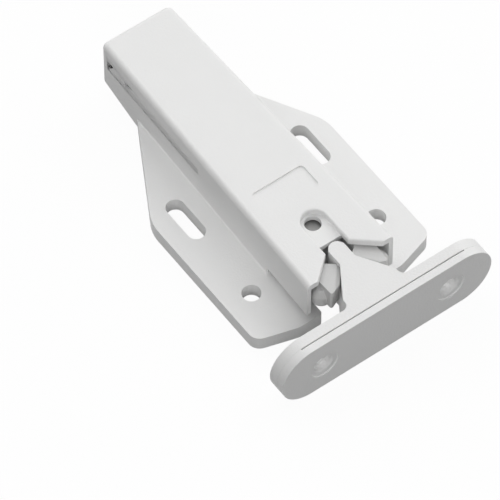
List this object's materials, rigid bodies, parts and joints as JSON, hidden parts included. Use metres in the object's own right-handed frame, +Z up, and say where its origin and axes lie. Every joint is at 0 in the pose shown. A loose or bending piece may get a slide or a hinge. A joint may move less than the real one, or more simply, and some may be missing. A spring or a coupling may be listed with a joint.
{
  "type": "cupboard catch latch",
  "caption": "White push-to-open catch: tapered case on a slotted flange, two claws at its mouth gripping the tongue of a two-layer striker plate.",
  "frame": {"origin": "on the mounting face, midway between the two round screw holes of the flange", "axes": "+X to the right across the case, +Y back along the case away from the striker, +Z up from the mounting face"},
  "size_m": [0.058, 0.096, 0.017],
  "materials": {
    "case_white": "satin",
    "inner_white": "satin",
    "claw_grey": "satin",
    "striker_grey": "satin",
    "steel": "satin"
  },
  "bodies": {
    "case": {"housing": "case_white", "base_cover": "inner_white", "main_spring": "steel", "link_retainer": "steel"},
    "slide": {"carriage": "inner_white", "claw_pin_left": "steel", "claw_pin_right": "steel"},
    "left_claw": {"claw_left": "claw_grey"},
    "right_claw": {"claw_right": "claw_grey"},
    "link": {"cam_link": "steel"},
    "door_plate": {"striker": "striker_grey", "striker_backing": "striker_grey"}
  },
  "joints": [
    {"name": "carriage_slide", "type": "slide", "parent": "case", "child": "slide", "axis": [0, -1, 0], "range_m": [0, 0.01]},
    {"name": "left_claw_turn", "type": "hinge", "parent": "slide", "child": "left_claw", "pos_m": [-0.0069, 0.0045, 0.0093], "axis": [0, 0, -1], "range_deg": [0, 15]},
    {"name": "right_claw_turn", "type": "hinge", "parent": "slide", "child": "right_claw", "pos_m": [0.0069, 0.0045, 0.0093], "axis": [0, 0, 1], "range_deg": [0, 15]},
    {"name": "link_turn", "type": "hinge", "parent": "case", "child": "link", "pos_m": [0, 0.0007, 0.0125], "axis": [0, 0, -1], "range_deg": [0, 4.1]},
    {"name": "striker_travel", "type": "slide", "parent": "case", "child": "door_plate", "axis": [0, -1, 0], "range_m": [0, 0.01]}
  ],
  "couplings": [
    {"joint": "left_claw_turn", "follows": "carriage_slide", "rad_per_m": 26.17},
    {"joint": "right_claw_turn", "follows": "carriage_slide", "rad_per_m": 26.17},
    {"joint": "link_turn", "follows": "carriage_slide", "rad_per_m": 7},
    {"joint": "striker_travel", "follows": "carriage_slide", "ratio": 1}
  ]
}
